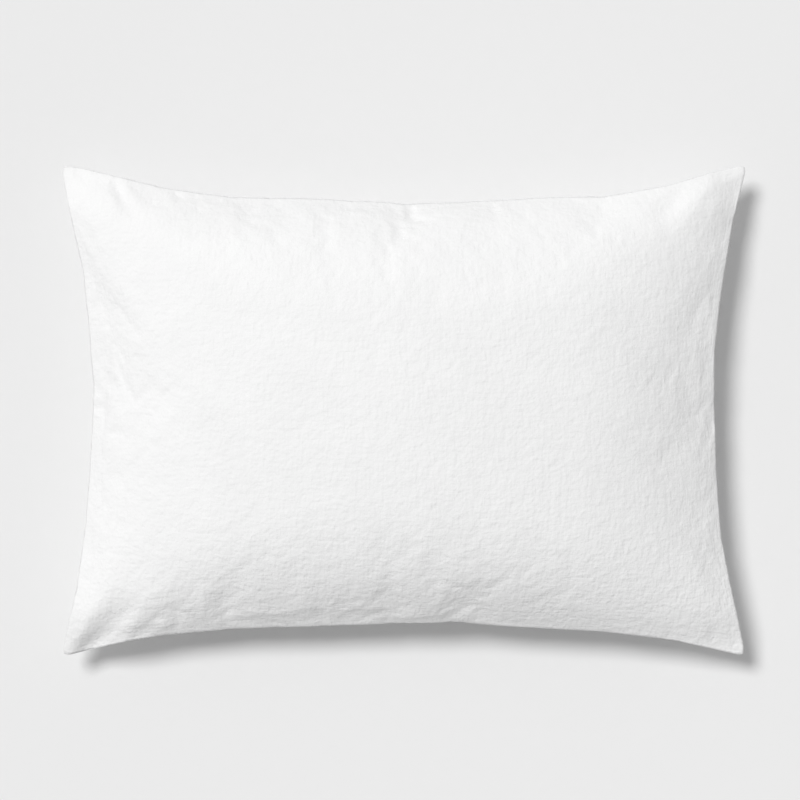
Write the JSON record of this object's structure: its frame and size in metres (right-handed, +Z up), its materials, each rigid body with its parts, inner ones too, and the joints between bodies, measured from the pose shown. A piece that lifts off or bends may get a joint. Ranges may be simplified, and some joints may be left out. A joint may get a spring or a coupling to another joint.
{
  "type": "bed pillow",
  "caption": "Rectangular white bed pillow with a knife-edge seam, pulled-in sides, a zipped removable cover and a fibre-filled insert.",
  "frame": {"origin": "centre of the pillow's outline in plan, on the floor that its underside rests on", "axes": "+X along the length, +Y across the width away from the zipped side, +Z up out of the front panel"},
  "size_m": [0.691, 0.4953, 0.1524],
  "materials": {
    "cover_cloth": "matte",
    "sewing_thread": "matte",
    "label_tape": "satin",
    "zip_tape": "matte",
    "zip_coil": "satin",
    "zip_metal": "satin",
    "ticking": "matte",
    "insert_thread": "matte",
    "fibre": "matte"
  },
  "bodies": {
    "pillow": {"cover_front": "cover_cloth", "cover_back": "cover_cloth", "cover_zip_strip": "cover_cloth", "cover_seam_thread": "sewing_thread", "care_label": "label_tape", "zip_tape_upper": "zip_tape", "zip_tape_lower": "zip_tape", "zip_coil_upper": "zip_coil", "zip_coil_lower": "zip_coil", "zip_top_stops": "zip_metal", "zip_bottom_stop": "zip_metal", "zip_stitch_upper": "sewing_thread", "zip_stitch_lower": "sewing_thread", "insert_front": "ticking", "insert_back": "ticking", "insert_seam_thread": "insert_thread", "fibre_fill": "fibre"},
    "slider": {"zip_slider": "zip_metal"},
    "pull": {"zip_pull": "zip_metal"}
  },
  "joints": [
    {"name": "zip_travel", "type": "hinge", "parent": "pillow", "child": "slider", "pos_m": [0, -2.71864, 0], "axis": [0, 0, 1], "range_deg": [0, 11.14]},
    {"name": "pull_swing", "type": "hinge", "parent": "slider", "child": "pull", "pos_m": [0.24461, -0.21136, 0.0423], "axis": [0.0765, 0.7843, -0.6157], "range_deg": [-85, 85]}
  ]
}
